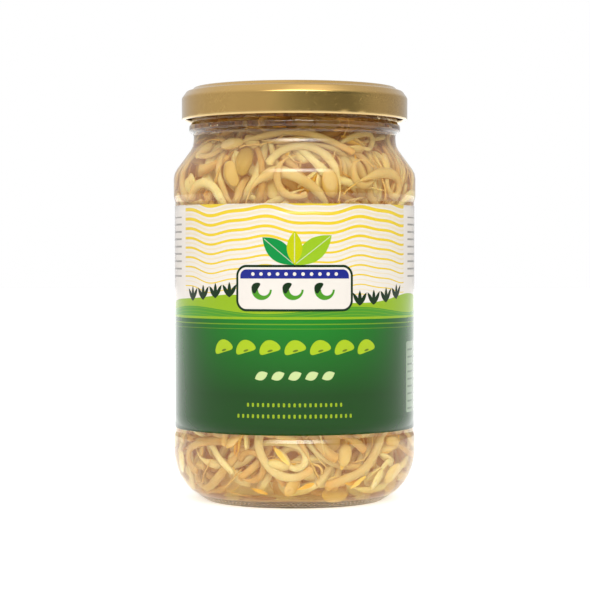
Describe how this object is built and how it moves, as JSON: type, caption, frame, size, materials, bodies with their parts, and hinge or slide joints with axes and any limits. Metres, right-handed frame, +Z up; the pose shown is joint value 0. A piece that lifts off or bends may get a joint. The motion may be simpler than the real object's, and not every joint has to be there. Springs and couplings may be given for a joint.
{
  "type": "jar of bean sprouts",
  "caption": "Glass jar with a gold twist-off lid and a wraparound paper label, packed with pale curling bean sprouts in brine.",
  "frame": {"origin": "centre of the jar's base ring, on the surface that it stands on", "axes": "+Z up the jar's axis to the lid, -Y towards the front of the label"},
  "size_m": [0.072, 0.072, 0.1225],
  "materials": {
    "glass": "clear moulded glass",
    "label_paper": "printed semi-gloss paper",
    "brine": "clear, slightly yellow liquid",
    "sprouts": "moist, cream, slightly translucent",
    "seal_plastic": "soft off-white",
    "gold_lacquer": "satin gold lacquer on steel"
  },
  "bodies": {
    "jar": {"glass_jar": "glass", "label": "label_paper", "brine": "brine", "sprout_tangle_1": "sprouts", "sprout_tangle_2": "sprouts", "sprout_tangle_3": "sprouts", "sprout_tangle_4": "sprouts", "sprout_tangle_5": "sprouts"},
    "seal": {"sealing_ring": "seal_plastic"},
    "cap": {"lid": "gold_lacquer"}
  },
  "joints": [
    {"name": "lid_rise", "type": "slide", "parent": "jar", "child": "seal", "axis": [0, 0, 1], "range_m": [0, 0.0023]},
    {"name": "lid_turn", "type": "hinge", "parent": "seal", "child": "cap", "pos_m": [0, 0, 0.1127], "axis": [0, 0, 1], "range_deg": [0, 70]}
  ],
  "couplings": [
    {"joint": "lid_rise", "follows": "lid_turn", "m_per_rad": 0.0018825}
  ]
}
